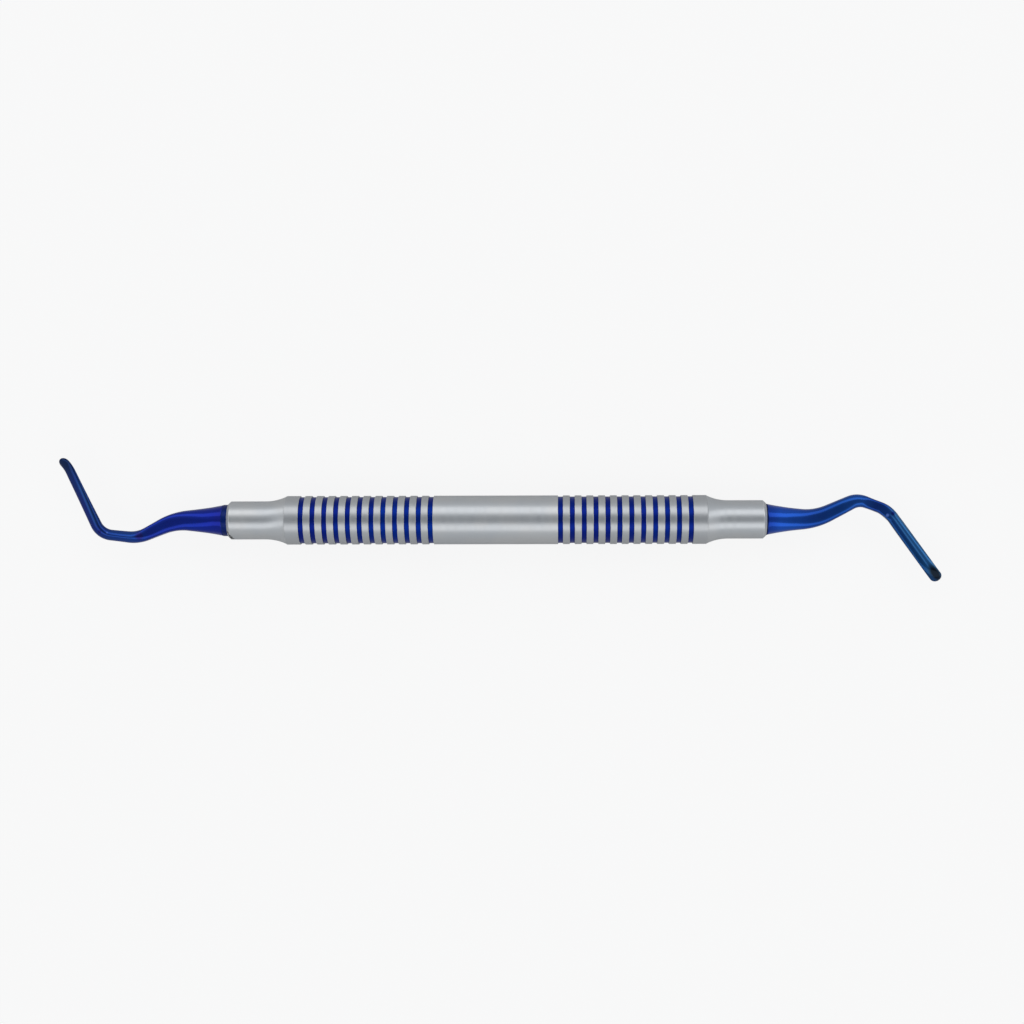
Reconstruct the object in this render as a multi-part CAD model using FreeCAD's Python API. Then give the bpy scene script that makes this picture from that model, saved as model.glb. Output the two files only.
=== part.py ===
import FreeCAD, Part
import math
import os

# Tunneling instrument, in millimetres.
# The handle lies along X with its middle at the origin, and +Z is up, away from the table.
# Both tips bend in the XY plane. The left tip is at -X and the right tip at +X.

# handle tube, as long as its smooth middle, its grooves and a plain land at each end
handle_radius = 5.0
tube_bore_radius = 3.9
tube_end_land = 2.9
tube_end_break = 0.1

# grooves and the blue bands in them
grooves_per_side = 12
groove_pitch = 2.4
groove_width = 1.0
groove_depth = 0.5
band_thickness = 0.27
smooth_middle = 25.4

# neck: the turned end piece between tube and tip
neck_length = 12.0
neck_spigot_length = 8.0
flare_radius = 10.15
collar_radius = 3.915
collar_chamfer_long = 0.58
collar_chamfer_deep = 0.55

# tips: a round tang in the neck, then a tapered shank with three bends and a flat blade
tang_radius = 3.22
tang_length = 11.0
cone_width = 6.34
root_depth = 0.4
blade_width = 2.53
blade_thickness = 0.76

# how far the cone starts outside the neck, the straight runs measured from corner to corner, the
# angle and radius of the bend after each run, and the blade's roll about its own length. The last
# bend is at the blade's end. Above 0 it turns the end away from the face that lies upward
end_bend_angle = 24.0
end_bend_radius = 5.0
left_tip = {
    "proud": 1.05,
    "runs": [10.04, 8.45, 7.86, 14.3],
    "bend_angles": [25.0, -31.2, -57.9, -end_bend_angle],
    "bend_radii": [13.0, 7.4, 4.0, end_bend_radius],
    "roll_angle": -30.5,
}
right_tip = {
    "proud": 0.2,
    "runs": [9.9, 9.55, 6.48, 14.52],
    "bend_angles": [25.2, -46.1, -33.4, end_bend_angle],
    "bend_radii": [13.0, 4.0, 6.6, end_bend_radius],
    "roll_angle": 12.0,
}

# distance from the start of the cone, width and thickness of the section there
left_taper = [
    (0.0, cone_width, cone_width),
    (3.0, 5.27, 5.27),
    (7.0, 4.28, 4.28),
    (12.0, 3.34, 3.34),
    (17.0, 2.63, 2.63),
    (23.0, 2.25, 2.25),
    (28.5, blade_width, 1.6),
    (38.0, blade_width, 0.84),
    (41.0, blade_width, blade_thickness),
]
right_taper = [
    (0.0, cone_width, cone_width),
    (2.0, 5.58, 5.58),
    (5.0, 4.67, 4.67),
    (9.0, 3.9, 3.9),
    (13.0, 3.38, 3.38),
    (17.5, 2.93, 2.93),
    (22.5, 2.28, 2.28),
    (31.2, blade_width, 1.4),
    (38.0, blade_width, 0.84),
    (41.0, blade_width, blade_thickness),
]
section_step = 1.3
section_points = 16
end_angles = [15, 30, 45, 60, 72, 82]

groove_floor = handle_radius - groove_depth
first_groove = smooth_middle / 2.0 + groove_width / 2.0
last_groove = first_groove + (grooves_per_side - 1) * groove_pitch
half_tube = last_groove + groove_width / 2.0 + tube_end_land
half_handle = half_tube + neck_length
along_x = FreeCAD.Vector(1, 0, 0)
upward = FreeCAD.Vector(0, 0, 1)
origin = FreeCAD.Vector(0, 0, 0)


# Save one piece under its node's name.
def save(shape, name):
    shape.exportStep(os.path.join("parts", name + ".step"))
    print(name, "volume", round(shape.Volume, 2), "valid", shape.isValid())


# A tube or rod along X from start to end. A bore of 0 leaves it solid.
def ring(start, end, outside, bore):
    base = FreeCAD.Vector(start, 0, 0)
    body = Part.makeCylinder(outside, end - start, base, along_x)
    if bore > 0:
        body = body.cut(Part.makeCylinder(bore, end - start, base, along_x))
    return body


# Spin a closed outline, given as edges in the XY plane, about the X axis.
def turned(edges):
    face = Part.Face(Part.Wire(edges))
    return face.revolve(origin, along_x, 360)


# A straight edge between two points given as distance along X and radius.
def straight_edge(first, last):
    return Part.makeLine(FreeCAD.Vector(first[0], first[1], 0), FreeCAD.Vector(last[0], last[1], 0))


# Where a groove's middle lies along X, counted from the handle's smooth middle.
def groove_centre(side, number):
    return side * (first_groove + number * groove_pitch)


# Points from the first groove of a side to its last one, walking away from the middle.
def groove_points(side):
    points = []
    for number in range(grooves_per_side):
        middle = groove_centre(side, number)
        near = middle - side * groove_width / 2.0
        far = middle + side * groove_width / 2.0
        points.append((near, handle_radius))
        points.append((near, groove_floor))
        points.append((far, groove_floor))
        points.append((far, handle_radius))
    return points


# The handle's tube: bored through, with broken outer ends and square grooves.
def handle_tube():
    outline = [(-half_tube, tube_bore_radius)]
    outline.append((-half_tube, handle_radius - tube_end_break))
    outline.append((-half_tube + tube_end_break, handle_radius))
    left = groove_points(-1)
    left.reverse()
    outline.extend(left)
    outline.extend(groove_points(1))
    outline.append((half_tube - tube_end_break, handle_radius))
    outline.append((half_tube, handle_radius - tube_end_break))
    outline.append((half_tube, tube_bore_radius))
    edges = []
    for index in range(len(outline)):
        edges.append(straight_edge(outline[index - 1], outline[index]))
    return turned(edges)


# One blue band: a ring on the floor of a groove, below the face of the handle.
def band(side, number):
    middle = groove_centre(side, number)
    near = middle - groove_width / 2.0
    return ring(near, near + groove_width, groove_floor + band_thickness, groove_floor)


# A neck on the +X end: spigot, hollow flare, collar and chamfer, bored for the tang.
def neck():
    shoulder = handle_radius - tube_end_break
    rise = shoulder - collar_radius
    flare_length = math.sqrt(flare_radius ** 2 - (flare_radius - rise) ** 2)
    flare_end = half_tube + flare_length
    spigot_start = half_tube - neck_spigot_length
    half_way = half_tube + flare_length / 2.0
    drop = math.sqrt(flare_radius ** 2 - (flare_end - half_way) ** 2)
    middle_radius = collar_radius + flare_radius - drop
    chamfer_start = half_handle - collar_chamfer_long
    face_radius = collar_radius - collar_chamfer_deep
    flare = Part.Arc(
        FreeCAD.Vector(half_tube, shoulder, 0),
        FreeCAD.Vector(half_way, middle_radius, 0),
        FreeCAD.Vector(flare_end, collar_radius, 0),
    ).toShape()
    edges = [
        straight_edge((spigot_start, tang_radius), (spigot_start, tube_bore_radius)),
        straight_edge((spigot_start, tube_bore_radius), (half_tube, tube_bore_radius)),
        straight_edge((half_tube, tube_bore_radius), (half_tube, shoulder)),
        flare,
        straight_edge((flare_end, collar_radius), (chamfer_start, collar_radius)),
        straight_edge((chamfer_start, collar_radius), (half_handle, face_radius)),
        straight_edge((half_handle, face_radius), (half_handle, tang_radius)),
        straight_edge((half_handle, tang_radius), (spigot_start, tang_radius)),
    ]
    return turned(edges)


# The same piece on the -X end: half a turn about Z keeps it a true copy, not a mirror image.
def half_turn(shape):
    shape.rotate(origin, upward, 180)
    return shape


# Slope of the taper at one row of its list: the mean of both sides, or 0 at a turning point.
def taper_slope(rows, index, column):
    if index == 0 or index == len(rows) - 1:
        return None
    before = (rows[index][column] - rows[index - 1][column]) / (rows[index][0] - rows[index - 1][0])
    after = (rows[index + 1][column] - rows[index][column]) / (rows[index + 1][0] - rows[index][0])
    if before * after <= 0:
        return 0.0
    return 2.0 * before * after / (before + after)


# Width or thickness of the tip at a distance, by a smooth curve through the rows of its list.
def taper_at(rows, distance, column):
    if distance <= rows[0][0]:
        return rows[0][column]
    if distance >= rows[-1][0]:
        return rows[-1][column]
    index = 0
    while distance > rows[index + 1][0]:
        index = index + 1
    length = rows[index + 1][0] - rows[index][0]
    chord = (rows[index + 1][column] - rows[index][column]) / length
    first = taper_slope(rows, index, column)
    last = taper_slope(rows, index + 1, column)
    if first is None:
        first = 1.5 * chord - 0.5 * last
    if last is None:
        last = 0.0
    part = (distance - rows[index][0]) / length
    rise = part * part * (3.0 - 2.0 * part)
    ease_in = part * (1.0 - part) ** 2
    ease_out = part * part * (part - 1.0)
    start = rows[index][column]
    step = rows[index + 1][column] - start
    return start + step * rise + length * (first * ease_in + last * ease_out)


# Ring of points on an oval across the tip, wide along its own X and thin along its own Y.
def oval(place, wide, thin):
    points = []
    for index in range(section_points + 1):
        angle = 2.0 * math.pi * (index % section_points) / section_points
        spot = FreeCAD.Vector(wide * math.cos(angle), thin * math.sin(angle), 0)
        points.append(place.multVec(spot))
    return points


# Oval of the width and thickness that the taper has at a distance.
def section(place, rows, distance):
    wide = taper_at(rows, distance, 1) / 2.0
    thin = taper_at(rows, distance, 2) / 2.0
    return oval(place, wide, thin)


# Move a section along its own Z.
def ahead(place, distance):
    step = place.Rotation.multVec(upward) * distance
    return FreeCAD.Placement(place.Base + step, place.Rotation)


# Swing a section about an axis through a centre.
def swung(place, axis, centre, angle):
    turn = FreeCAD.Placement(origin, FreeCAD.Rotation(axis, angle), centre)
    return turn.multiply(place)


# Follow the tip from the neck to the blade's end. Returns the places of its sections with the
# distance of each from the start of the cone.
def tip_places(tip):
    roll = math.radians(tip["roll_angle"])
    wide_way = FreeCAD.Vector(0, math.cos(roll), math.sin(roll))
    thin_way = FreeCAD.Vector(0, -math.sin(roll), math.cos(roll))
    facing = FreeCAD.Rotation(wide_way, thin_way, along_x, "ZXY")
    place = FreeCAD.Placement(FreeCAD.Vector(half_handle + tip["proud"], 0, 0), facing)
    travelled = 0.0
    places = [(0.0, place)]
    used = 0.0
    for number in range(len(tip["runs"])):
        angle = tip["bend_angles"][number]
        radius = tip["bend_radii"][number]
        is_last = number == len(tip["runs"]) - 1
        tangent = 0.0 if is_last else radius * math.tan(math.radians(abs(angle)) / 2.0)
        length = tip["runs"][number] - used - tangent
        used = tangent
        steps = max(1, int(round(length / section_step)))
        for step in range(steps):
            place = ahead(place, length / steps)
            travelled = travelled + length / steps
            places.append((travelled, place))
        # the last bend turns about the blade's width, the others lie in the XY plane
        axis = place.Rotation.multVec(along_x) if is_last else upward
        inward = axis.cross(place.Rotation.multVec(upward)) * math.copysign(radius, angle)
        centre = place.Base + inward
        arc = radius * math.radians(abs(angle))
        steps = max(3, int(math.ceil(arc / (0.7 * section_step))))
        for step in range(steps):
            place = swung(place, axis, centre, angle / steps)
            travelled = travelled + arc / steps
            places.append((travelled, place))
    return places


# Ovals of the blade's full-round end, where width and thickness close along a quarter circle.
def blade_end(place):
    ovals = []
    for turned_by in end_angles:
        close = math.cos(math.radians(turned_by))
        reach = math.sin(math.radians(turned_by)) * blade_width / 2.0
        spot = ahead(place, reach)
        ovals.append(oval(spot, close * blade_width / 2.0, close * blade_thickness / 2.0))
    return ovals


# Solid with one smooth skin through a list of rings of points, and flat faces on its ends.
def skinned(rings):
    surface = Part.BSplineSurface()
    surface.interpolate(rings)
    side = surface.toShape()
    faces = [side]
    for edge in side.Edges:
        gap = edge.valueAt(edge.FirstParameter) - edge.valueAt(edge.LastParameter)
        if gap.Length < 0.000001:
            faces.append(Part.Face(Part.Wire([edge])))
    shell = Part.Shell(faces)
    shell.sewShape()
    body = Part.Solid(shell)
    if body.Volume < 0:
        body.reverse()
    return body


# One tip on the +X end: tang, shank, blade and rounded end in one solid. The cone is a little
# thinner than the tang, which leaves a fine step, and its root is sunk in the tang.
def tip(shape_of, rows):
    places = tip_places(shape_of)
    rings = [section(ahead(places[0][1], -root_depth), rows, 0.0)]
    for distance, place in places:
        rings.append(section(place, rows, distance))
    rings.extend(blade_end(places[-1][1]))
    cone_start = half_handle + shape_of["proud"]
    tang = ring(cone_start - tang_length, cone_start, tang_radius, 0)
    return tang.fuse(skinned(rings))


os.makedirs("parts", exist_ok=True)
save(handle_tube(), "handle_tube")
save(neck(), "neck_right")
save(half_turn(neck()), "neck_left")
save(tip(right_tip, right_taper), "tip_right")
save(half_turn(tip(left_tip, left_taper)), "tip_left")
for number in range(grooves_per_side):
    save(band(-1, number), "band_left_%02d" % (number + 1))
    save(band(1, number), "band_right_%02d" % (number + 1))
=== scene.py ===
import math

import bpy
import numpy as np
from mathutils import Matrix, Vector


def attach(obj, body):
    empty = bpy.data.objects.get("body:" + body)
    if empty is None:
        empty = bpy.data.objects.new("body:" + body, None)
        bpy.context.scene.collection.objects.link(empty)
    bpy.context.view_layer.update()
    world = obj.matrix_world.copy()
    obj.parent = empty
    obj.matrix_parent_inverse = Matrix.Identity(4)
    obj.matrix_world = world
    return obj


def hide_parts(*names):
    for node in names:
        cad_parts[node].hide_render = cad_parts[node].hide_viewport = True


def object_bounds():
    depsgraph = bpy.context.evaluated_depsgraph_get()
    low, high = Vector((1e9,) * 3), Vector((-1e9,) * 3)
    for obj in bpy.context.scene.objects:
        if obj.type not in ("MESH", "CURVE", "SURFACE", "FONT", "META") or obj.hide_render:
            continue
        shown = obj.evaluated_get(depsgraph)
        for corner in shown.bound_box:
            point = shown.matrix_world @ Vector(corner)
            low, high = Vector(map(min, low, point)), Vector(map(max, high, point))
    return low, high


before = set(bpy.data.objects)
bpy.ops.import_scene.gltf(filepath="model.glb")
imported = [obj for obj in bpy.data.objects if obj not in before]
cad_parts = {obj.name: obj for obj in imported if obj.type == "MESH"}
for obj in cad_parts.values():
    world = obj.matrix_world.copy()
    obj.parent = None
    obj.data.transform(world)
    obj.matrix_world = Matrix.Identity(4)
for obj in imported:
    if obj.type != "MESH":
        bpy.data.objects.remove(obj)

cadLow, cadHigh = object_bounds()
mm = 0.001  # lengths in the dictionaries are in millimetres
print("frame loaded")

# The photograph's viewpoint: above the handle, the right end a little nearer than the left one.
viewpoint = {
    "distance": 360.0,
    "aside": (3.27, 1.62),
    "tiltDegrees": 1.6,
    "rollDegrees": 0.13,
    "lens": 61.77,
    "sensor": 36.0,
    "clip": (10.0, 20000.0),
}


# Camera axes = roll about Z times tilt about Y. Its place is those axes times (aside, distance).
def addCamera(look):
    roll = Matrix.Rotation(math.radians(look["rollDegrees"]), 3, "Z")
    tilt = Matrix.Rotation(math.radians(-look["tiltDegrees"]), 3, "Y")
    axes = (roll @ tilt).transposed()
    data = bpy.data.cameras.new("camera")
    data.lens = look["lens"]
    data.sensor_width = look["sensor"]
    data.clip_start = look["clip"][0] * mm
    data.clip_end = look["clip"][1] * mm
    camera = bpy.data.objects.new("camera", data)
    place = axes @ Vector((look["aside"][0], look["aside"][1], look["distance"])) * mm
    camera.matrix_world = Matrix.Translation(place) @ axes.to_4x4()
    bpy.context.scene.collection.objects.link(camera)
    bpy.context.scene.camera = camera
    return camera


addCamera(viewpoint)
bpy.context.scene.view_settings.view_transform = "Standard"
print("camera placed")

# Light: two long soft boxes over the handle, and an even sky with a darker oval patch straight
# overhead, longer along the handle. Angles are measured from straight up toward +Y, a turn goes
# about the box's own aim, and a level is the radiance that a box adds to the sky. Lengths here are
# in metres.
studio = {
    "skyUp": (0.325, 0.342, 0.360),
    "skyAround": (0.610, 0.632, 0.655),
    "patch": (0.74, 0.53),
    "skySeen": (0.94, 0.94, 0.94),
    "floorColour": (0.62, 0.62, 0.62),
    "floorSeen": 1.0,
    "floorSeenShare": 0.875,
    "floorGlossShare": 0.10,
    "floorHalf": 3.0,
    "floorDrop": 0.00002,
    "boxAway": 0.6,
    "boxLong": 2.4,
    "boxWide": 0.36,
    "boxes": [
        {"name": "boxAbove", "angle": 47.0, "turn": -13.0, "level": 0.70},
        {"name": "boxBelow", "angle": -35.0, "turn": -11.0, "level": 0.62},
    ],
}


# A node with its settings and the values of its unlinked sockets.
def addNode(tree, kind, settings=None, values=None):
    made = tree.nodes.new(kind)
    for key, value in (settings or {}).items():
        setattr(made, key, value)
    for key, value in (values or {}).items():
        made.inputs[key].default_value = value
    return made


def newMaterial(name):
    material = bpy.data.materials.new(name)
    material.use_nodes = True
    material.node_tree.nodes.clear()
    return material, material.node_tree


# Area lamp at angle a, aimed at the origin: place = away·(0, sin a, cos a), turned by −a about X
# after a turn about its own aim. Power = level·π·area gives it that radiance.
def addSoftBox(look, box):
    angle = math.radians(box["angle"])
    data = bpy.data.lights.new(box["name"], "AREA")
    data.shape = "RECTANGLE"
    data.size = look["boxLong"]
    data.size_y = look["boxWide"]
    data.energy = box["level"] * math.pi * look["boxLong"] * look["boxWide"]
    lamp = bpy.data.objects.new(box["name"], data)
    away = look["boxAway"]
    place = Matrix.Translation((0.0, away * math.sin(angle), away * math.cos(angle)))
    turn = Matrix.Rotation(math.radians(box["turn"]), 4, "Z")
    lamp.matrix_world = place @ Matrix.Rotation(-angle, 4, "X") @ turn
    lamp.visible_camera = False
    bpy.context.scene.collection.objects.link(lamp)
    return lamp


# World: for every ray but the camera's own the sky goes from one colour around to another overhead,
# by the smooth step of 1 − (x/long)² − (y/wide)², x and y being the level parts of the ray's
# direction. The camera sees the pale backdrop.
def addSky(look):
    world = bpy.data.worlds.new("sky")
    bpy.context.scene.world = world
    world.use_nodes = True
    tree = world.node_tree
    tree.nodes.clear()
    heading = addNode(tree, "ShaderNodeTexCoord").outputs["Generated"]
    level = addNode(tree, "ShaderNodeVectorMath", {"operation": "MULTIPLY"})
    level.inputs[1].default_value = (1 / look["patch"][0], 1 / look["patch"][1], 0.0)
    square = addNode(tree, "ShaderNodeVectorMath", {"operation": "DOT_PRODUCT"})
    climb = addNode(tree, "ShaderNodeMapRange", {"interpolation_type": "SMOOTHSTEP"})
    climb.inputs["From Min"].default_value = 1.0
    climb.inputs["From Max"].default_value = 0.0
    blend = addNode(tree, "ShaderNodeMix", {"data_type": "RGBA"})
    blend.inputs["A"].default_value = (*look["skyAround"], 1)
    blend.inputs["B"].default_value = (*look["skyUp"], 1)
    tree.links.new(heading, level.inputs[0])
    tree.links.new(level.outputs[0], square.inputs[0])
    tree.links.new(level.outputs[0], square.inputs[1])
    tree.links.new(square.outputs["Value"], climb.inputs["Value"])
    tree.links.new(climb.outputs[0], blend.inputs["Factor"])
    plain = addNode(tree, "ShaderNodeBackground")
    tree.links.new(blend.outputs["Result"], plain.inputs["Color"])
    seen = addNode(tree, "ShaderNodeBackground", values={"Color": (*look["skySeen"], 1)})
    rays = addNode(tree, "ShaderNodeLightPath")
    mix = addNode(tree, "ShaderNodeMixShader")
    out = addNode(tree, "ShaderNodeOutputWorld")
    tree.links.new(rays.outputs["Is Camera Ray"], mix.inputs[0])
    tree.links.new(plain.outputs[0], mix.inputs[1])
    tree.links.new(seen.outputs[0], mix.inputs[2])
    tree.links.new(mix.outputs[0], out.inputs[0])


# Floor: a diffuse sheet under the handle. The camera sees a share of plain backdrop colour over
# it, polished metal a small share, so the object's soft shadow stays.
def addFloor(look, level):
    material, tree = newMaterial("paleFloor")
    cloth = addNode(tree, "ShaderNodeBsdfDiffuse", values={"Color": (*look["floorColour"], 1)})
    seen = look["floorSeen"]
    glow = addNode(tree, "ShaderNodeEmission", values={"Color": (seen, seen, seen, 1)})
    rays = addNode(tree, "ShaderNodeLightPath")
    cameraShare = addNode(tree, "ShaderNodeMath", {"operation": "MULTIPLY"})
    cameraShare.inputs[1].default_value = look["floorSeenShare"]
    metalShare = addNode(tree, "ShaderNodeMath", {"operation": "MULTIPLY_ADD"})
    metalShare.inputs[1].default_value = look["floorGlossShare"]
    mix = addNode(tree, "ShaderNodeMixShader")
    out = addNode(tree, "ShaderNodeOutputMaterial")
    tree.links.new(rays.outputs["Is Camera Ray"], cameraShare.inputs[0])
    tree.links.new(rays.outputs["Is Glossy Ray"], metalShare.inputs[0])
    tree.links.new(cameraShare.outputs[0], metalShare.inputs[2])
    tree.links.new(metalShare.outputs[0], mix.inputs[0])
    tree.links.new(cloth.outputs[0], mix.inputs[1])
    tree.links.new(glow.outputs[0], mix.inputs[2])
    tree.links.new(mix.outputs[0], out.inputs[0])
    half = look["floorHalf"]
    signs = [(-1, -1), (1, -1), (1, 1), (-1, 1)]
    mesh = bpy.data.meshes.new("floor")
    mesh.from_pydata([(x * half, y * half, level) for x, y in signs], [], [(0, 1, 2, 3)])
    mesh.materials.append(material)
    floor = bpy.data.objects.new("floor", mesh)
    bpy.context.scene.collection.objects.link(floor)
    return floor


addSky(studio)
for softBox in studio["boxes"]:
    addSoftBox(studio, softBox)
addFloor(studio, cadLow.z - studio["floorDrop"])
print("studio lit")


# Effects that several finishes share. Each is a node group with named sockets.
def newGroup(name, inputs, outputs):
    group = bpy.data.node_groups.new(name, "ShaderNodeTree")
    for label, kind, value in inputs:
        socket = group.interface.new_socket(label, in_out="INPUT", socket_type=kind)
        if value is not None:
            socket.default_value = value
    for label, kind in outputs:
        group.interface.new_socket(label, in_out="OUTPUT", socket_type=kind)
    return group, group.nodes.new("NodeGroupInput"), group.nodes.new("NodeGroupOutput")


# Fine marks of a tool: noise on (x·across, y·along, z·along), so that it is drawn out round the
# axis. Height is the sharp noise, Tone a coarser one of the same kind.
def buildFineMarks():
    group, start, end = newGroup(
        "fineMarks",
        [
            ("Vector", "NodeSocketVector", None),
            ("Across", "NodeSocketFloat", 9000.0),
            ("Along", "NodeSocketFloat", 90.0),
        ],
        [("Height", "NodeSocketFloat"), ("Tone", "NodeSocketFloat")],
    )
    stretch = addNode(group, "ShaderNodeCombineXYZ")
    scaled = addNode(group, "ShaderNodeVectorMath", {"operation": "MULTIPLY"})
    coarse = addNode(group, "ShaderNodeVectorMath", {"operation": "SCALE"}, {"Scale": 0.17})
    sharp = addNode(group, "ShaderNodeTexNoise", values={
        "Scale": 1.0, "Detail": 3.0, "Roughness": 0.6})
    soft = addNode(group, "ShaderNodeTexNoise", values={
        "Scale": 1.0, "Detail": 2.0, "Roughness": 0.5})
    group.links.new(start.outputs["Across"], stretch.inputs[0])
    group.links.new(start.outputs["Along"], stretch.inputs[1])
    group.links.new(start.outputs["Along"], stretch.inputs[2])
    group.links.new(start.outputs["Vector"], scaled.inputs[0])
    group.links.new(stretch.outputs[0], scaled.inputs[1])
    group.links.new(scaled.outputs[0], sharp.inputs["Vector"])
    group.links.new(scaled.outputs[0], coarse.inputs[0])
    group.links.new(coarse.outputs[0], soft.inputs["Vector"])
    group.links.new(sharp.outputs[0], end.inputs["Height"])
    group.links.new(soft.outputs[0], end.inputs["Tone"])
    return group


# Slow drift between two colours, by smooth noise.
def buildColourDrift():
    group, start, end = newGroup(
        "colourDrift",
        [
            ("Vector", "NodeSocketVector", None),
            ("Scale", "NodeSocketFloat", 120.0),
            ("First", "NodeSocketColor", (0.5, 0.5, 0.5, 1)),
            ("Second", "NodeSocketColor", (0.6, 0.6, 0.6, 1)),
        ],
        [("Color", "NodeSocketColor")],
    )
    noise = addNode(group, "ShaderNodeTexNoise", values={"Detail": 2.0, "Roughness": 0.5})
    spread = addNode(group, "ShaderNodeMapRange", {"interpolation_type": "SMOOTHSTEP"})
    spread.inputs["From Min"].default_value = 0.35
    spread.inputs["From Max"].default_value = 0.65
    mix = addNode(group, "ShaderNodeMix", {"data_type": "RGBA"})
    group.links.new(start.outputs["Vector"], noise.inputs["Vector"])
    group.links.new(start.outputs["Scale"], noise.inputs["Scale"])
    group.links.new(noise.outputs[0], spread.inputs["Value"])
    group.links.new(spread.outputs[0], mix.inputs["Factor"])
    group.links.new(start.outputs["First"], mix.inputs["A"])
    group.links.new(start.outputs["Second"], mix.inputs["B"])
    group.links.new(mix.outputs["Result"], end.inputs["Color"])
    return group


# Wear: the piece's own edge attribute times broken noise, clipped to 0..1.
def buildEdgeWear():
    group, start, end = newGroup(
        "edgeWear",
        [
            ("Vector", "NodeSocketVector", None),
            ("Edge", "NodeSocketFloat", 0.0),
            ("Amount", "NodeSocketFloat", 0.6),
        ],
        [("Mask", "NodeSocketFloat")],
    )
    noise = addNode(group, "ShaderNodeTexNoise", values={"Scale": 900.0, "Detail": 3.0})
    broken = addNode(group, "ShaderNodeMapRange")
    broken.inputs["From Min"].default_value = 0.4
    broken.inputs["From Max"].default_value = 0.6
    times = addNode(group, "ShaderNodeMath", {"operation": "MULTIPLY"})
    amount = addNode(group, "ShaderNodeMath", {"operation": "MULTIPLY", "use_clamp": True})
    group.links.new(start.outputs["Vector"], noise.inputs["Vector"])
    group.links.new(noise.outputs[0], broken.inputs["Value"])
    group.links.new(broken.outputs[0], times.inputs[0])
    group.links.new(start.outputs["Edge"], times.inputs[1])
    group.links.new(times.outputs[0], amount.inputs[0])
    group.links.new(start.outputs["Amount"], amount.inputs[1])
    group.links.new(amount.outputs[0], end.inputs["Mask"])
    return group


fineMarks = buildFineMarks()
colourDrift = buildColourDrift()
edgeWear = buildEdgeWear()


# A shared effect placed in a material, with its own values.
def placeGroup(tree, group, coordinates, values):
    placed = addNode(tree, "ShaderNodeGroup", {"node_tree": group})
    tree.links.new(coordinates, placed.inputs["Vector"])
    for key, value in values.items():
        placed.inputs[key].default_value = value
    return placed


# Mixes a colour into another by a mask.
def overlay(tree, base, mask, colour):
    mix = addNode(tree, "ShaderNodeMix", {"data_type": "RGBA"})
    mix.inputs["B"].default_value = (*colour, 1)
    tree.links.new(mask, mix.inputs["Factor"])
    tree.links.new(base, mix.inputs["A"])
    return mix.outputs["Result"]


# Turns a 0..1 value into a range.
def toRange(tree, value, low, high, fromLow=0.3, fromHigh=0.7):
    ranged = addNode(tree, "ShaderNodeMapRange")
    ranged.inputs["From Min"].default_value = fromLow
    ranged.inputs["From Max"].default_value = fromHigh
    ranged.inputs["To Min"].default_value = low
    ranged.inputs["To Max"].default_value = high
    tree.links.new(value, ranged.inputs["Value"])
    return ranged.outputs[0]


# Value of one of a piece's own attributes.
def readMark(tree, label):
    return addNode(tree, "ShaderNodeAttribute", {"attribute_name": label}).outputs["Fac"]


# What every metal here starts from: its material, its object coordinates and a tool's fine marks.
def startMetal(name, look):
    material, tree = newMaterial(name)
    coordinates = addNode(tree, "ShaderNodeTexCoord").outputs["Object"]
    marks = placeGroup(tree, fineMarks, coordinates, {
        "Across": look["marksAcross"], "Along": look["marksAlong"]})
    return material, tree, coordinates, marks


# Lays the worn tone on the edges.
def addWear(tree, coordinates, colour, look):
    wear = placeGroup(tree, edgeWear, coordinates, {"Amount": look["wear"]})
    tree.links.new(readMark(tree, "edge"), wear.inputs["Edge"])
    return overlay(tree, colour, wear.outputs["Mask"], look["worn"])


# The metal's shader: colour, roughness and height come in as sockets, the rest is plain values.
def finishMetal(tree, colour, roughness, height, look):
    shader = addNode(tree, "ShaderNodeBsdfPrincipled", values={"Metallic": 1.0})
    shader.inputs["Coat Weight"].default_value = look["coat"]
    shader.inputs["Coat Roughness"].default_value = look["coatRoughness"]
    bump = addNode(tree, "ShaderNodeBump")
    bump.inputs["Strength"].default_value = look["bump"]
    bump.inputs["Distance"].default_value = look["bumpDepth"] * mm
    out = addNode(tree, "ShaderNodeOutputMaterial")
    tree.links.new(colour, shader.inputs["Base Color"])
    tree.links.new(roughness, shader.inputs["Roughness"])
    tree.links.new(height, bump.inputs["Height"])
    tree.links.new(bump.outputs[0], shader.inputs["Normal"])
    tree.links.new(shader.outputs[0], out.inputs[0])
    return shader


steelLook = {
    "cool": (0.530, 0.548, 0.566),
    "warm": (0.562, 0.568, 0.572),
    "worn": (0.700, 0.705, 0.710),
    "land": (0.480, 0.492, 0.505),
    "driftScale": 140.0,
    "roughLow": 0.29,
    "roughHigh": 0.37,
    "marksAcross": 7000.0,
    "marksAlong": 70.0,
    "bump": 0.2,
    "bumpDepth": 0.004,
    "wear": 0.7,
    "coat": 0.0,
    "coatRoughness": 0.1,
}


spotCore = 0.45


# Lays small round marks on a colour: darker specks and spots, and on the tips painted glints. The
# mask is 1 up to the core's share of a mark's size from its place and falls to 0 at its size.
def addSpots(tree, coordinates, colour, spotsAndGlints):
    for spot in spotsAndGlints:
        away = addNode(tree, "ShaderNodeVectorMath", {"operation": "DISTANCE"})
        away.inputs[1].default_value = tuple(value * mm for value in spot["place"])
        tree.links.new(coordinates, away.inputs[0])
        size = spot["size"] * mm
        mask = toRange(tree, away.outputs["Value"], 1.0, 0.0, spotCore * size, size)
        colour = overlay(tree, colour, mask, spot["colour"])
    return colour


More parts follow.
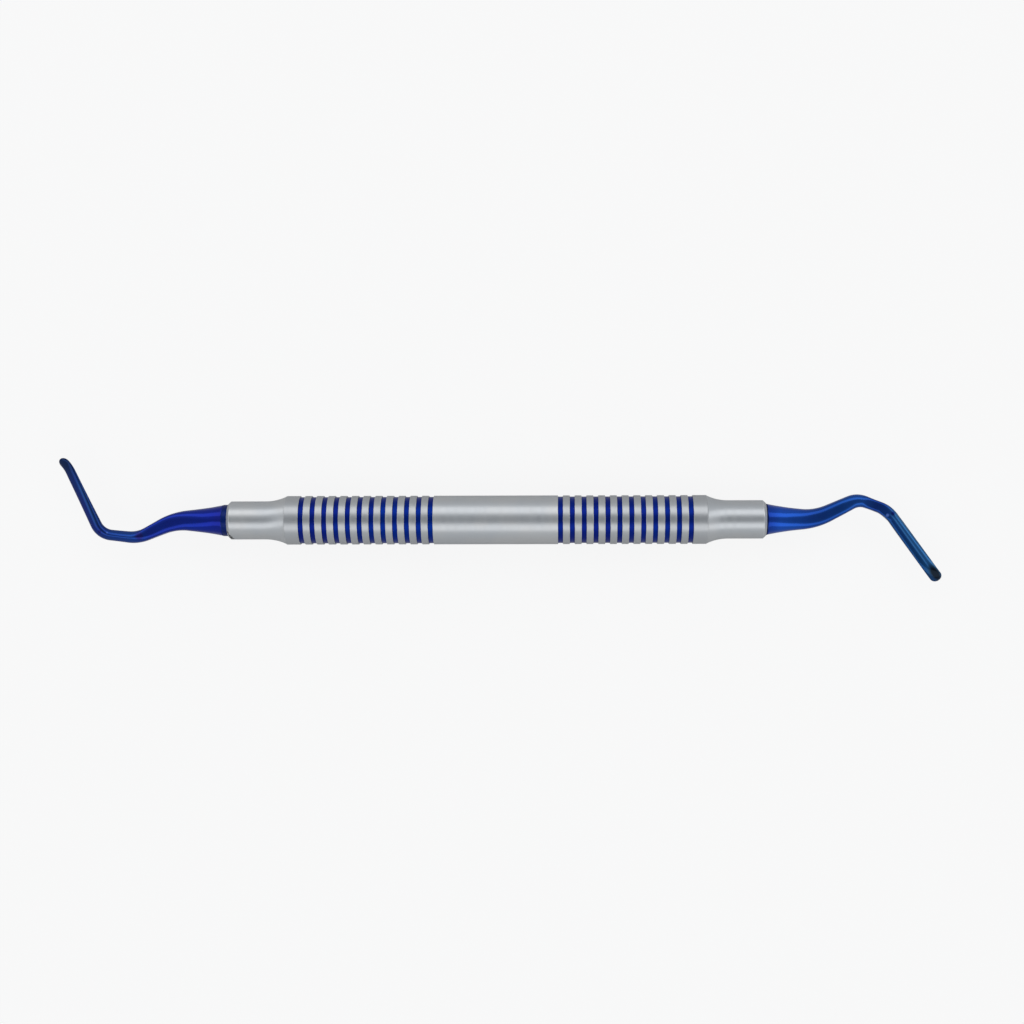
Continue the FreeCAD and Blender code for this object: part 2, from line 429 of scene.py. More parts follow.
# Satin turned steel: fine marks round the axis, brighter worn edges, a slow drift of tone, and a
# duller tone on the lands between the grooves, from the piece's own attribute.
def turnedSteel(name, look, specks=()):
    material, tree, coordinates, marks = startMetal(name, look)
    drift = placeGroup(tree, colourDrift, coordinates, {
        "Scale": look["driftScale"], "First": (*look["cool"], 1), "Second": (*look["warm"], 1)})
    colour = overlay(tree, drift.outputs["Color"], readMark(tree, "land"), look["land"])
    colour = addWear(tree, coordinates, colour, look)
    colour = addSpots(tree, coordinates, colour, specks)
    roughness = toRange(tree, marks.outputs["Tone"], look["roughLow"], look["roughHigh"])
    finishMetal(tree, colour, roughness, marks.outputs["Height"], look)
    return material


bandLook = {
    "blue": (0.0015, 0.024, 0.250),
    "violet": (0.004, 0.016, 0.215),
    "worn": (0.018, 0.060, 0.320),
    "driftScale": 70.0,
    "roughLow": 0.30,
    "roughHigh": 0.38,
    "marksAcross": 9000.0,
    "marksAlong": 90.0,
    "bump": 0.15,
    "bumpDepth": 0.003,
    "wear": 0.3,
    "coat": 0.03,
    "coatRoughness": 0.2,
}


# Blue metallic finish of the bands: drifts between blue and violet from band to band.
def bandBlue(name, look):
    material, tree, coordinates, marks = startMetal(name, look)
    drift = placeGroup(tree, colourDrift, coordinates, {
        "Scale": look["driftScale"], "First": (*look["blue"], 1), "Second": (*look["violet"], 1)})
    colour = addWear(tree, coordinates, drift.outputs["Color"], look)
    roughness = toRange(tree, marks.outputs["Tone"], look["roughLow"], look["roughHigh"])
    finishMetal(tree, colour, roughness, marks.outputs["Height"], look)
    return material


# Stops: share of the way from the neck to the blade's end, then the colour there; besides the
# coat's blue they hold painted light and shade. Across the blade the colour goes to farEdge at side
# -1 and to nearEdge at side 1, over the sideSoft range, as painted light and shade. Stripes are
# painted highlights, lines along the tip at one side value, from one share of the way to another.
# Oval is the painted dark reflection on its end. The land's painted shade fades out over the
# landSoft range. The bright spots are painted glints.
leftTipLook = {
    # The stops are the coat's blue and partly painted light and shade: lighter at the bends, darker
    # past them and on the blade.
    "stops": [
        (0.00, (0.003, 0.016, 0.270)),
        (0.05, (0.004, 0.018, 0.300)),
        (0.22, (0.004, 0.026, 0.320)),
        (0.36, (0.004, 0.028, 0.300)),
        (0.46, (0.006, 0.064, 0.290)),
        (0.55, (0.005, 0.052, 0.250)),
        (0.62, (0.004, 0.032, 0.205)),
        (0.90, (0.004, 0.028, 0.150)),
    ],
    # The colour toward the blade's edges is painted light and shade across the blade.
    "farEdge": (0.006, 0.036, 0.190),
    "nearEdge": (0.008, 0.022, 0.160),
    "sideShare": 0.8,
    "sideSoft": (0.1, 1.0),
    # The stripes are painted highlights along the blade.
    "highlightStripes": [
        {
            "side": -0.62, "half": 0.45, "from": 0.64, "to": 0.86,
            "share": 0.6, "colour": (0.012, 0.062, 0.210),
        },
    ],
    # The oval is a painted dark reflection on the blade's end.
    "oval": {
        "along": 0.985, "side": -0.2, "long": 0.080, "wide": 1.7,
        "soft": (0.4, 1.2), "colour": (0.004, 0.020, 0.085),
    },
    # The first spot is a painted glint; the others are darker spots.
    "spotsAndGlints": [
        {"place": (-80.05, -2.55, 0.8), "size": 0.36, "colour": (0.090, 0.170, 0.500)},
        {"place": (-81.6, -2.25, 0.9), "size": 0.50, "colour": (0.006, 0.008, 0.120)},
        {"place": (-73.3, -3.15, 1.1), "size": 1.10, "colour": (0.014, 0.015, 0.170)},
    ],
    # The land's darker colour is painted shade between neck and cone.
    "landShade": (0.001, 0.016, 0.140),
    "landSoft": (0.0015, 0.003),
    "landRough": 0.5,
    "cast": (0.012, 0.008, 0.210),
    "castShare": 0.35,
    "driftScale": 90.0,
    "roughLow": 0.15,
    "roughHigh": 0.22,
    "marksAcross": 2500.0,
    "marksAlong": 500.0,
    "bump": 0.12,
    "bumpDepth": 0.003,
    "coat": 0.22,
    "coatRoughness": 0.08,
}
rightTipLook = dict(leftTipLook)
rightTipLook.update({
    # The stops are the coat's blue and partly painted light and shade: lighter near the neck and at
    # the bends, darker past them and at the blade's end.
    "stops": [
        (0.00, (0.003, 0.036, 0.310)),
        (0.06, (0.010, 0.085, 0.500)),
        (0.15, (0.008, 0.080, 0.440)),
        (0.24, (0.005, 0.060, 0.300)),
        (0.34, (0.004, 0.058, 0.300)),
        (0.46, (0.010, 0.080, 0.370)),
        (0.53, (0.004, 0.036, 0.230)),
        (0.60, (0.004, 0.058, 0.290)),
        (0.90, (0.007, 0.085, 0.270)),
        (0.94, (0.020, 0.080, 0.150)),
    ],
    # The colour toward the blade's edges is painted light and shade: darker on one side, lighter
    # teal on the other.
    "farEdge": (0.003, 0.045, 0.160),
    "nearEdge": (0.040, 0.140, 0.290),
    "sideShare": 1.0,
    # The stripes are painted highlights: the ridge, the lit zone beside it and a line near the
    # edge.
    "highlightStripes": [
        {
            "side": 0.30, "half": 0.60, "from": 0.62, "to": 0.91,
            "share": 0.6, "colour": (0.034, 0.180, 0.480),
        },
        {
            "side": 0.02, "half": 0.16, "from": 0.62, "to": 0.91,
            "share": 0.9, "colour": (0.070, 0.300, 0.750),
        },
        {
            "side": 0.66, "half": 0.14, "from": 0.58, "to": 0.74,
            "share": 0.6, "colour": (0.030, 0.200, 0.440),
        },
    ],
    # The oval is a painted dark reflection on the blade's end.
    "oval": {
        "along": 0.957, "side": 0.26, "long": 0.050, "wide": 0.82,
        "soft": (0.55, 1.1), "colour": (0.002, 0.008, 0.018),
    },
    # The first spot is a painted glint; the second is a darker spot.
    "spotsAndGlints": [
        {"place": (79.6, 0.80, 0.9), "size": 0.40, "colour": (0.140, 0.280, 0.850)},
        {"place": (80.7, 1.15, 0.9), "size": 0.55, "colour": (0.002, 0.014, 0.170)},
    ],
    # The land's darker colour is painted shade between neck and cone.
    "landShade": (0.001, 0.008, 0.060),
    "cast": (0.008, 0.024, 0.330),
    "castShare": 0.25,
})


highlightStartSoft = (-0.02, 0.02)
highlightEndSoft = (-0.03, 0.02)


# Painted highlights in lines along a tip. The mask is 1 where "side" is within a third of the
# half width of the line and falls to 0 at the half width, times a soft start and end along the tip,
# times the line's share.
def addPaintedHighlights(tree, along, side, colour, highlightStripes):
    for highlight in highlightStripes:
        away = addNode(tree, "ShaderNodeMath", {"operation": "SUBTRACT"})
        away.inputs[1].default_value = highlight["side"]
        size = addNode(tree, "ShaderNodeMath", {"operation": "ABSOLUTE"})
        tree.links.new(side, away.inputs[0])
        tree.links.new(away.outputs[0], size.inputs[0])
        half = highlight["half"]
        mask = toRange(tree, size.outputs[0], highlight["share"], 0.0, half / 3, half)
        startRange = [highlight["from"] + soft for soft in highlightStartSoft]
        endRange = [highlight["to"] + soft for soft in highlightEndSoft]
        begins = toRange(tree, along, 0.0, 1.0, *startRange)
        ends = toRange(tree, along, 1.0, 0.0, *endRange)
        for part in (begins, ends):
            times = addNode(tree, "ShaderNodeMath", {"operation": "MULTIPLY"})
            tree.links.new(mask, times.inputs[0])
            tree.links.new(part, times.inputs[1])
            mask = times.outputs[0]
        colour = overlay(tree, colour, mask, highlight["colour"])
    return colour


# Painted dark reflection on a blade's end, where ((along − A)/long, (side − S)/wide) is a short
# vector.
def addDarkReflection(tree, along, side, colour, oval):
    spread = (1.0 / oval["long"], 1.0 / oval["wide"])
    pair = addNode(tree, "ShaderNodeCombineXYZ")
    scaled = addNode(tree, "ShaderNodeVectorMath", {"operation": "MULTIPLY"})
    scaled.inputs[1].default_value = (*spread, 0.0)
    away = addNode(tree, "ShaderNodeVectorMath", {"operation": "DISTANCE"})
    away.inputs[1].default_value = (oval["along"] * spread[0], oval["side"] * spread[1], 0.0)
    tree.links.new(along, pair.inputs[0])
    tree.links.new(side, pair.inputs[1])
    tree.links.new(pair.outputs[0], scaled.inputs[0])
    tree.links.new(scaled.outputs[0], away.inputs[0])
    mask = toRange(tree, away.outputs["Value"], 1.0, 0.0, *oval["soft"])
    return overlay(tree, colour, mask, oval["colour"])


# Glossy blue coat of a tip: its colour runs along the tip through the stops, partly painted light
# and shade, with a cast of another hue in slow noise, shifts toward the blade's edges by the
# attribute
# "side" as painted light and shade, carries the stripes of painted highlight, ends in the oval of
# painted dark reflection, and takes the spots, the bright ones painted glints. The short land
# between neck and cone, where "along" is 0, is darker, a painted shade, and duller: roughness is
# the larger of the polish and land·landRough.
def tipCoat(name, look):
    material, tree, coordinates, marks = startMetal(name, look)
    along = readMark(tree, "along")
    side = readMark(tree, "side")
    ramp = addNode(tree, "ShaderNodeValToRGB")
    stops = ramp.color_ramp.elements
    for number, (share, colour) in enumerate(look["stops"]):
        stop = stops[number] if number < 2 else stops.new(share)
        stop.position = share
        stop.color = (*colour, 1)
    tree.links.new(along, ramp.inputs[0])
    drift = placeGroup(tree, colourDrift, coordinates, {
        "Scale": look["driftScale"], "First": (0, 0, 0, 1), "Second": (1, 1, 1, 1)})
    share = toRange(tree, drift.outputs["Color"], 0.0, look["castShare"], 0.0, 1.0)
    colour = overlay(tree, ramp.outputs[0], share, look["cast"])
    inner, outer = look["sideSoft"]
    # Painted light and shade across the blade, toward its edges.
    near = toRange(tree, side, 0.0, look["sideShare"], inner, outer)
    far = toRange(tree, side, look["sideShare"], 0.0, -outer, -inner)
    colour = overlay(tree, colour, near, look["nearEdge"])
    colour = overlay(tree, colour, far, look["farEdge"])
    colour = addPaintedHighlights(tree, along, side, colour, look["highlightStripes"])
    colour = addDarkReflection(tree, along, side, colour, look["oval"])
    colour = addSpots(tree, coordinates, colour, look["spotsAndGlints"])
    # Painted shade on the land between neck and cone, where "along" is 0.
    land = toRange(tree, along, 1.0, 0.0, *look["landSoft"])
    colour = overlay(tree, colour, land, look["landShade"])
    polish = toRange(tree, marks.outputs["Tone"], look["roughLow"], look["roughHigh"])
    dull = addNode(tree, "ShaderNodeMath", {"operation": "MULTIPLY"})
    dull.inputs[1].default_value = look["landRough"]
    roughness = addNode(tree, "ShaderNodeMath", {"operation": "MAXIMUM"})
    tree.links.new(land, dull.inputs[0])
    tree.links.new(dull.outputs[0], roughness.inputs[0])
    tree.links.new(polish, roughness.inputs[1])
    finishMetal(tree, colour, roughness.outputs[0], marks.outputs["Height"], look)
    return material


# Dark specks at the left collar's outer edge.
darkSpecks = [
    {"place": (-54.45, -2.95, 2.30), "size": 0.42, "colour": (0.040, 0.032, 0.026)},
    {"place": (-54.25, -3.40, 1.85), "size": 0.50, "colour": (0.030, 0.026, 0.022)},
    {"place": (-54.05, -3.72, 1.15), "size": 0.50, "colour": (0.030, 0.034, 0.034)},
    {"place": (-54.70, -2.40, 2.60), "size": 0.45, "colour": (0.180, 0.150, 0.130)},
]
steel = turnedSteel("turnedSteel", steelLook)
speckledSteel = turnedSteel("speckledSteel", steelLook, darkSpecks)
blueBand = bandBlue("blueBand", bandLook)
leftBlue = tipCoat("leftTipBlue", leftTipLook)
rightBlue = tipCoat("rightTipBlue", rightTipLook)
print("finishes ready")


# Puts a grid of points into a mesh: points[i, j] is ring i at turn j, in millimetres, and every
# ring closes on itself. With joined, the last ring meets the first. Without it, each end closes
# in a fan round its middle point. Faces turn outward when the volume, a sixth of the sum of
# a·(b×c) over the triangles, is above 0.
def addSurface(name, points, joined, marks, material):
    count, around = points.shape[:2]
    i = np.arange(count if joined else count - 1)[:, None]
    j = np.arange(around)[None, :]
    beside = (j + 1) % around
    after = (i + 1) % count
    quads = np.stack(
        [i * around + j, i * around + beside, after * around + beside, after * around + j], axis=-1
    ).reshape(-1, 4)
    flat = points.reshape(-1, 3)
    fans = np.zeros((0, 3), int)
    if not joined:
        flat = np.vstack([flat, points[0].mean(axis=0), points[-1].mean(axis=0)])
        turn = np.arange(around)
        following = (turn + 1) % around
        base = (count - 1) * around
        middle = np.full(around, count * around)
        first = np.stack([middle, following, turn], axis=-1)
        last = np.stack([middle + 1, base + turn, base + following], axis=-1)
        fans = np.vstack([first, last])
    corners = np.vstack([quads[:, [0, 1, 2]], quads[:, [0, 2, 3]], fans])
    a, b, c = flat[corners[:, 0]], flat[corners[:, 1]], flat[corners[:, 2]]
    if np.einsum("ij,ij->i", a, np.cross(b, c)).sum() < 0:
        quads = quads[:, ::-1]
        fans = fans[:, ::-1]
    mesh = bpy.data.meshes.new(name)
    mesh.from_pydata((flat * mm).tolist(), [], quads.tolist() + fans.tolist())
    mesh.polygons.foreach_set("use_smooth", np.ones(len(mesh.polygons), bool))
    for label, values in marks.items():
        spread = np.broadcast_to(values if values.ndim == 2 else values[:, None], (count, around))
        ends = [] if joined else [spread[0].mean(), spread[-1].mean()]
        spread = np.append(spread.ravel(), ends)
        attribute = mesh.attributes.new(label, "FLOAT", "POINT")
        attribute.data.foreach_set("value", spread.astype(np.float32))
    mesh.materials.append(material)
    mesh.update()
    piece = bpy.data.objects.new(name, mesh)
    bpy.context.scene.collection.objects.link(piece)
    return piece


flatHold = 1.5
samePlace = 1e-7


# Outline with eased corners. At corner C with reach r the curve is C + r·((1−t)²·b + t²·a), b and
# a pointing to the corners before and after it, and one more point at flatHold·r on either side
# keeps the flats flat in smooth shading. A corner of reach 0 stays one point. Returns the points
# and how close each is to a worn edge.
def easedOutline(corners, reach, steps=3):
    corners = np.asarray(corners, float)
    reach = np.asarray(reach, float)
    before = np.roll(corners, 1, axis=0) - corners
    after = np.roll(corners, -1, axis=0) - corners
    before /= np.linalg.norm(before, axis=1)[:, None]
    after /= np.linalg.norm(after, axis=1)[:, None]
    t = np.linspace(0.0, 1.0, steps)
    towardBefore = np.concatenate([[flatHold], (1 - t) ** 2, [0.0]])[:, None]
    towardAfter = np.concatenate([[0.0], t ** 2, [flatHold]])[:, None]
    edge = np.concatenate([[0.0], np.ones(steps), [0.0]])
    curve = towardBefore * before[:, None, :] + towardAfter * after[:, None, :]
    points = corners[:, None, :] + reach[:, None, None] * curve
    edge = edge[None, :] * (reach > 0)[:, None]
    points = points.reshape(-1, 2)
    edge = edge.reshape(-1)
    kept = np.linalg.norm(points - np.roll(points, 1, axis=0), axis=1) > samePlace
    return points[kept], edge[kept]


# Spins an outline of (distance along X, radius) about the X axis: (x, r·cos a, r·sin a).
def turnedGrid(outline, around):
    a = np.linspace(0.0, 2.0 * np.pi, around, endpoint=False)[None, :]
    x = np.broadcast_to(outline[:, 0:1], (len(outline), around))
    r = outline[:, 1:2]
    return np.stack([x, r * np.cos(a), r * np.sin(a)], axis=-1)


# Half a turn about Z, for the left pieces.
def halfTurn(points):
    return points * np.array([-1.0, -1.0, 1.0])


# Declares a finished piece: it rides on the one body and stands for its CAD node.
def settle(piece, node):
    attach(piece, "root")
    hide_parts(node)
    return piece


handle = {
    "radius": 4.99,
    "bore": 3.9,
    "smoothMiddle": 25.4,
    "grooves": 12,
    "pitch": 2.4,
    "grooveWidth": 1.0,
    "grooveFloor": 4.5,
    "endLand": 2.9,
    "endBreak": 0.1,
    "endReach": [0.02, 0.03, 0.03],
    "edgeEase": 0.07,
    "around": 112,
}
firstGroove = handle["smoothMiddle"] / 2 + handle["grooveWidth"] / 2
grooveCentres = firstGroove + np.arange(handle["grooves"]) * handle["pitch"]
halfTube = grooveCentres[-1] + handle["grooveWidth"] / 2 + handle["endLand"]


# Tube outline: bore, broken end, then four corners for each groove, and the other end the same.
def buildTube(size):
    half = size["grooveWidth"] / 2
    top = size["radius"]
    floor = size["grooveFloor"]
    centres = np.concatenate([-grooveCentres[::-1], grooveCentres])
    alongX = centres[:, None] + np.array([-half, -half, half, half])[None, :]
    height = np.broadcast_to([top, floor, floor, top], alongX.shape)
    grooves = np.stack([alongX, height], axis=-1).reshape(-1, 2)
    grooveReach = np.tile([size["edgeEase"], 0.0, 0.0, size["edgeEase"]], len(centres))
    edge = size["endBreak"]
    startEnd = [(-halfTube, size["bore"]), (-halfTube, top - edge), (-halfTube + edge, top)]
    lastEnd = [(halfTube - edge, top), (halfTube, top - edge), (halfTube, size["bore"])]
    corners = np.vstack([startEnd, grooves, lastEnd])
    reach = np.concatenate([size["endReach"], grooveReach, size["endReach"][::-1]])
    outline, worn = easedOutline(corners, reach)
    grid = turnedGrid(outline, size["around"])
    land = (np.abs(outline[:, 0]) > size["smoothMiddle"] / 2).astype(float)
    return addSurface("handleTube", grid, True, {"edge": worn, "land": land}, steel)


settle(buildTube(handle), "handle_tube")
print("handle turned")

band = {
    "thickness": 0.27,
    "dip": 0.022,
    "stations": 11,
}


# Band outline: flat bore on the groove's floor, and a face that dips between its edges by
# dip·(1 − x⁴), x going from -1 to 1 across it. Its edges are worn by x⁸.
def buildBand(size, name, centre):
    floor = handle["grooveFloor"]
    x = np.linspace(-1.0, 1.0, size["stations"])
    face = floor + size["thickness"] - size["dip"] * (1 - x ** 4)
    outer = np.stack([centre + x * handle["grooveWidth"] / 2, face], axis=-1)
    inner = np.array([[outer[-1, 0], floor], [outer[0, 0], floor]])
    outline = np.vstack([outer, inner])
    worn = np.concatenate([x ** 8, [0.0, 0.0]])
    return addSurface(name, turnedGrid(outline, handle["around"]), True, {"edge": worn}, blueBand)


bandSides = [("bandLeft", "band_left", -1), ("bandRight", "band_right", 1)]
for number, place in enumerate(grooveCentres, start=1):
    for name, node, sign in bandSides:
        piece = buildBand(band, "%s%02d" % (name, number), sign * place)
        settle(piece, "%s_%02d" % (node, number))
print("bands laid")

neck = {
    "length": 12.0,
    "spigot": 8.0,
    "flareRadius": 10.15,
    "shoulder": 4.895,
    "collar": 3.912,
    "chamferLong": 0.58,
    "chamferDeep": 0.55,
    "bore": 3.22,
    "baseReach": [0.02, 0.02, 0.02, 0.03],
    "frontReach": [0.09, 0.05, 0.03],
    "flarePoints": 30,
    "around": 128,
}


# Neck outline: spigot, shoulder, a hollow flare r = collar + hollow − √(hollow² − (end − x)²), the
# collar, its chamfer and the bore. The spigot fills the handle's bore.
def buildNeck(size, name, material, flip):
    hollow = size["flareRadius"]
    rise = size["shoulder"] - size["collar"]
    flareLength = math.sqrt(hollow ** 2 - (hollow - rise) ** 2)
    end = halfTube + flareLength
    tip = halfTube + size["length"]
    x = np.linspace(halfTube, end, size["flarePoints"])
    flare = np.stack([x, size["collar"] + hollow - np.sqrt(hollow ** 2 - (end - x) ** 2)], axis=-1)
    inside = halfTube - size["spigot"]
    base = [(inside, size["bore"]), (inside, handle["bore"]), (halfTube, handle["bore"])]
    front = [
        (tip - size["chamferLong"], size["collar"]),
        (tip, size["collar"] - size["chamferDeep"]),
        (tip, size["bore"]),
    ]
    corners = np.vstack([base, flare, front])
    reach = np.zeros(len(corners))
    reach[:4] = size["baseReach"]
    reach[-3:] = size["frontReach"]
    outline, worn = easedOutline(corners, reach, 4)
    grid = turnedGrid(outline, size["around"])
    return addSurface(name, halfTurn(grid) if flip else grid, True, {"edge": worn}, material)


settle(buildNeck(neck, "neckRight", steel, False), "neck_right")
settle(buildNeck(neck, "neckLeft", speckledSteel, True), "neck_left")
print("necks turned")

# The right blade's bevel makes it a little narrower than the left one. EndTurns are the angles of
# the rings that close a blade's end. "Side" fades in over flatFade from flatFrom on.
blade = {
    "width": 2.52,
    "bevelledWidth": 2.48,
    "thickness": 0.75,
    "endBend": 24.0,
    "endBendRadius": 5.0,
    "endTurns": [12, 24, 36, 47, 57, 66, 74, 81],
    "flatFrom": 24.0,
    "flatFade": 3.0,
}
tang = {
    "radius": 3.218,
    "length": 11.0,
    "innerBreak": 0.1,
    "middle": 3.0,
    "ease": 0.06,
    "coneWidth": 6.34,
}
# Taper: distance from the cone's start, then the width and the thickness there. Corners: distance,
# then how square the shank is there on its -Y side and on its +Y side before the left one's half
# turn: 2 is round, and below 2 it has a soft ridge on top. Flats: the same for the blade, at side
# -1 and at side 1. Face: distance, then how far the section is turned from the roll, in degrees.
leftTip = {
    "proud": 1.05,
    "runs": [10.04, 8.45, 7.86, 14.3],
    "bends": [25.0, -31.2, -57.9, -blade["endBend"]],
    "radii": [13.0, 7.4, 4.0, blade["endBendRadius"]],
    "roll": -30.5,
    "taper": [
        (0, tang["coneWidth"], tang["coneWidth"]), (3, 5.27, 5.27), (7, 4.28, 4.28),
        (12, 3.34, 3.34), (17, 2.63, 2.63), (23, 2.25, 2.25), (28.5, blade["width"], 1.6),
        (38, blade["width"], 0.83), (41, blade["width"], blade["thickness"]),
    ],
    "corners": [
        (2, 2.0, 2.0), (4, 2.0, 2.4), (8, 2.6, 3.2), (10.5, 3.4, 4.2), (15.5, 3.4, 4.2),
        (18, 2.0, 2.2), (19.5, 1.55, 1.55), (24, 1.55, 1.6), (26, 2.0, 2.0),
    ],
    "flats": [(24, 2.0, 2.0), (28, 2.5, 2.5), (39, 2.5, 2.5), (41.5, 2.0, 2.0)],
    "face": [(24, 0.0), (41, 0.0)],
}
rightTip = {
    "proud": 0.2,
    "runs": [9.9, 9.55, 6.48, 14.52],
    "bends": [25.2, -46.1, -33.4, blade["endBend"]],
    "radii": [13.0, 4.0, 6.6, blade["endBendRadius"]],
    "roll": 12.0,
    "taper": [
        (0, tang["coneWidth"], tang["coneWidth"]), (2, 5.58, 5.58), (5, 4.67, 4.67),
        (9, 3.9, 3.9), (13, 3.38, 3.38), (17.5, 2.93, 2.93), (22.5, 2.28, 2.28),
        (31.2, blade["bevelledWidth"], 1.4), (38, blade["bevelledWidth"], 0.83),
        (41, blade["bevelledWidth"], blade["thickness"]),
    ],
    "corners": [
        (1, 2.0, 2.0), (4, 2.5, 2.0), (7, 3.0, 2.3), (10, 3.5, 2.9), (16, 3.5, 2.9),
        (18.3, 2.6, 2.2), (20.3, 2.4, 2.2), (21.8, 5.0, 4.6), (25, 5.0, 4.6), (27.5, 2.0, 2.0),
    ],
    "flats": [(24, 2.0, 2.0), (27, 5.0, 1.35), (38.5, 5.0, 1.35), (41, 2.0, 2.0)],
    "face": [(24, 0.0), (28, -9.0), (38, -9.0), (41, 0.0)],
}
tipGrid = {"step": 0.22, "around": 96, "fewestOnRun": 2, "fewestOnBend": 6}


# Path of a tip: runs of straight line joined by arcs. On a run the point is start + s·heading. On
# a bend of radius r the frame turns by a about its axis, I + sin a·k + (1−cos a)·k² with k the
# axis' cross matrix, and the point turns with it about a centre r to the inside. Frame columns are
# wide way, thin way and heading.
def tipPath(shape):
    roll = math.radians(shape["roll"])
    axes = np.array([
        [0.0, 0.0, 1.0],
        [math.cos(roll), -math.sin(roll), 0.0],
        [math.sin(roll), math.cos(roll), 0.0],
    ])
    place = np.array([halfTube + neck["length"] + shape["proud"], 0.0, 0.0])
    travelled, used = 0.0, 0.0
    distances, places, frames = [np.zeros(1)], [place[None]], [axes[None]]
    for number, run in enumerate(shape["runs"]):
        bend = math.radians(shape["bends"][number])
        radius = shape["radii"][number]
        isLast = number == len(shape["runs"]) - 1
        tangent = 0.0 if isLast else radius * math.tan(abs(bend) / 2)
        length = run - used - tangent
        used = tangent
        steps = max(tipGrid["fewestOnRun"], int(length / tipGrid["step"]))
        s = np.linspace(0.0, length, steps + 1)[1:]
        distances.append(travelled + s)
        places.append(place + s[:, None] * axes[:, 2])
        frames.append(np.broadcast_to(axes, (len(s), 3, 3)))
        place = places[-1][-1]
        travelled += length
        # The last bend turns about the blade's width, and the others lie in the XY plane.
        axis = axes[:, 0] if isLast else np.array([0.0, 0.0, 1.0])
        centre = place + np.cross(axis, axes[:, 2]) * math.copysign(radius, bend)
        arc = radius * abs(bend)
        steps = max(tipGrid["fewestOnBend"], int(arc / tipGrid["step"]))
        a = np.linspace(0.0, bend, steps + 1)[1:]
        k = np.array([[0, -axis[2], axis[1]], [axis[2], 0, -axis[0]], [-axis[1], axis[0], 0]])
        sine, versed = np.sin(a)[:, None, None], (1 - np.cos(a))[:, None, None]
        turns = np.eye(3) + sine * k + versed * (k @ k)
        distances.append(travelled + radius * np.abs(a))
        places.append(centre + turns @ (place - centre))
        frames.append(turns @ axes)
        place, axes = places[-1][-1], frames[-1][-1]
        travelled += arc
    return np.concatenate(distances), np.concatenate(places), np.concatenate(frames)


# Smooth curve through the rows of a taper. Between two rows it is start + step·p²(3−2p) +
# length·(m₀·p(1−p)² + m₁·p²(p−1)), a slope m being the harmonic mean of the chords beside it, or 0
# where they turn. At the first row the slope is 1.5 times the first chord less half the next slope,
# at the last it is 0, and outside the rows the curve keeps its end value.
def taperAlong(rows, distance, column):
    rows = np.array(rows, float)
    x, y = rows[:, 0], rows[:, column]
    chord = np.diff(y) / np.diff(x)
    product = chord[:-1] * chord[1:]
    total = np.where(np.abs(chord[:-1] + chord[1:]) < 1e-12, 1.0, chord[:-1] + chord[1:])
    inner = np.where(product > 0, 2 * product / total, 0.0)
    slope = np.concatenate([[1.5 * chord[0] - 0.5 * inner[0]], inner, [0.0]])
    k = np.clip(np.searchsorted(x, distance, side="right") - 1, 0, len(x) - 2)
    length = x[k + 1] - x[k]
    p = np.clip((distance - x[k]) / length, 0.0, 1.0)
    ease = slope[k] * p * (1 - p) ** 2 + slope[k + 1] * p * p * (p - 1)
    return y[k] + (y[k + 1] - y[k]) * p * p * (3 - 2 * p) + length * ease


# Rings of a tip: place + across·wideWay + deep·thinWay. Across is wide/2·C and deep thin/2·S, with
# C = ±|cos a|^(2/n) and S = ±|sin a|^(2/n). The power n goes from the far flat to the near one as
# (1 + cos a)/2, and 2 is an oval. The shank's corners widen a ring by
# (|cos b|^m + |sin b|^m)^(−1/m), b = a + roll being the angle from level, so its flats lie level
# whatever the blade's roll. The face turns across and deep by its angle. Returns the rings and C.
def tipRings(places, frames, wide, thin, reached, shape, a):
    flats = np.array(shape["flats"], float)
    far = np.interp(reached, flats[:, 0], flats[:, 1])[:, None]
    near = np.interp(reached, flats[:, 0], flats[:, 2])[:, None]
    power = 2.0 / (far + (near - far) * (1 + np.cos(a)) / 2)
    corners = np.array(shape["corners"], float)
    below = np.interp(reached, corners[:, 0], corners[:, 1])[:, None]
    above = np.interp(reached, corners[:, 0], corners[:, 2])[:, None]
    b = a + math.radians(shape["roll"])
    m = np.where(np.cos(b) < 0, below, above)
    widen = (np.abs(np.cos(b)) ** m + np.abs(np.sin(b)) ** m) ** (-1.0 / m)
    c = np.sign(np.cos(a)) * np.abs(np.cos(a)) ** power
    s = np.sign(np.sin(a)) * np.abs(np.sin(a)) ** power
    across = (wide / 2)[:, None] * c * widen
    deep = (thin / 2)[:, None] * s * widen
    face = np.array(shape["face"], float)
    turn = np.radians(np.interp(reached, face[:, 0], face[:, 1]))[:, None]
    level = across * np.cos(turn) - deep * np.sin(turn)
    upward = across * np.sin(turn) + deep * np.cos(turn)
    wideWay = frames[:, None, :, 0]
    thinWay = frames[:, None, :, 1]
    rings = places[:, None, :] + level[:, :, None] * wideWay + upward[:, :, None] * thinWay
    return rings, c


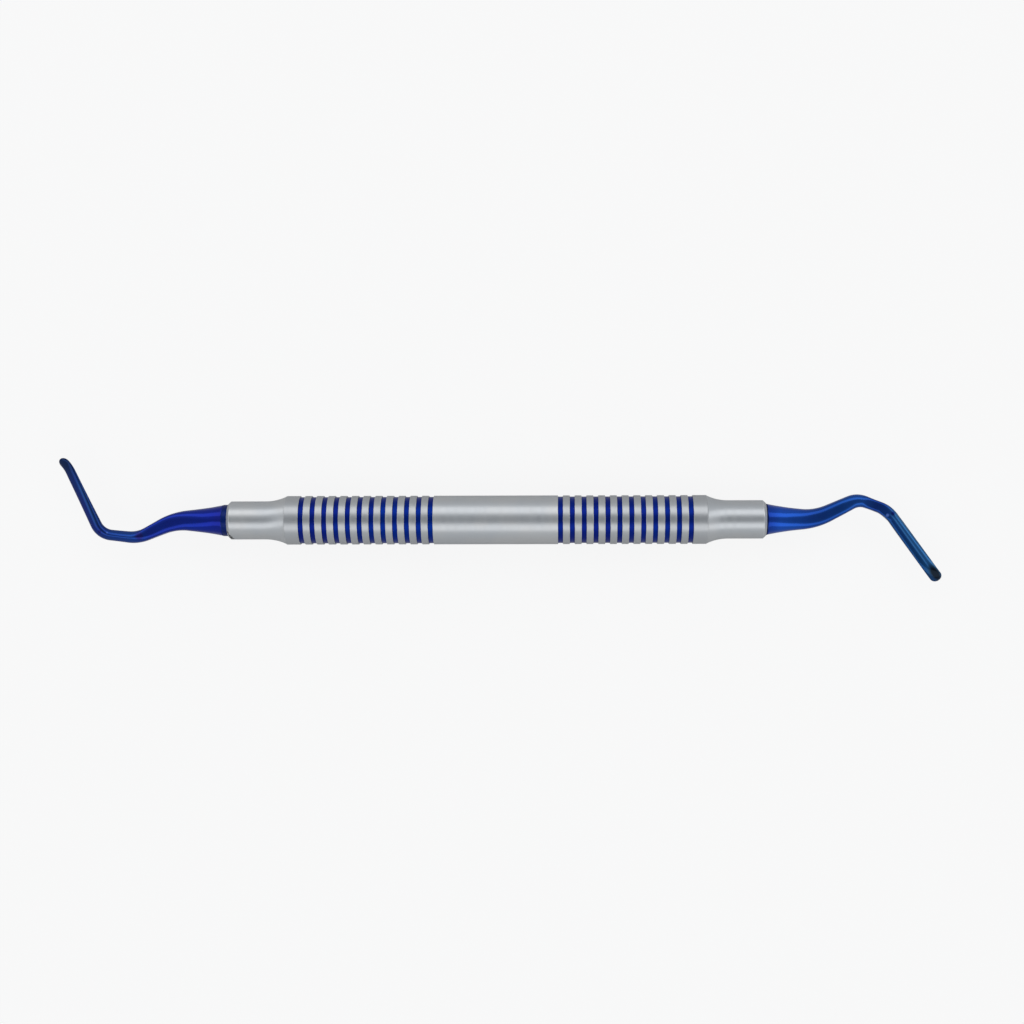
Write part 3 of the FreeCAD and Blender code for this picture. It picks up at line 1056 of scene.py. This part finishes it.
# Tang on the straight line before the cone: how far along it each ring is, and its radius. It ends
# in an eased edge and a fine step down to the cone.
def tangRings(size):
    r, e, inner = size["radius"], size["ease"], size["innerBreak"]
    start = -size["length"]
    along = [start, start + inner, -size["middle"], -flatHold * e, -e, -0.3 * e, 0.0, 0.0]
    radius = [r - inner, r, r, r, r, r - 0.3 * e, r - e, size["coneWidth"] / 2]
    return np.array(along), np.array(radius)


# Tip: the tang, the tapered shank along its path, the flat blade, and an end where width and
# thickness close along a quarter circle. Side is C where the blade is flat.
def buildTip(shape, name, material, flip):
    distance, places, frames = tipPath(shape)
    wide = taperAlong(shape["taper"], distance, 1)
    thin = taperAlong(shape["taper"], distance, 2)
    back, radius = tangRings(tang)
    tangPlaces = places[0] + back[:, None] * frames[0][:, 2]
    tangFrames = np.broadcast_to(frames[0], (len(back), 3, 3))
    turn = np.radians(np.array(blade["endTurns"]))
    beyond = np.sin(turn) * wide[-1] / 2
    endPlaces = places[-1] + beyond[:, None] * frames[-1][:, 2]
    endFrames = np.broadcast_to(frames[-1], (len(turn), 3, 3))
    allPlaces = np.vstack([tangPlaces, places, endPlaces])
    allFrames = np.vstack([tangFrames, frames, endFrames])
    allWide = np.concatenate([2 * radius, wide, wide[-1] * np.cos(turn)])
    allThin = np.concatenate([2 * radius, thin, thin[-1] * np.cos(turn)])
    reached = np.concatenate([np.zeros(len(back)), distance, distance[-1] + beyond])
    around = np.linspace(0.0, 2.0 * np.pi, tipGrid["around"], endpoint=False)[None, :]
    grid, c = tipRings(allPlaces, allFrames, allWide, allThin, reached, shape, around)
    flat = np.clip((reached - blade["flatFrom"]) / blade["flatFade"], 0.0, 1.0)
    side = (flat * allWide / wide[-1])[:, None] * c
    marks = {"along": reached / (distance[-1] + wide[-1] / 2), "side": side}
    return addSurface(name, halfTurn(grid) if flip else grid, False, marks, material)


settle(buildTip(rightTip, "tipRight", rightBlue, False), "tip_right")
settle(buildTip(leftTip, "tipLeft", leftBlue, True), "tip_left")
print("tips swept")
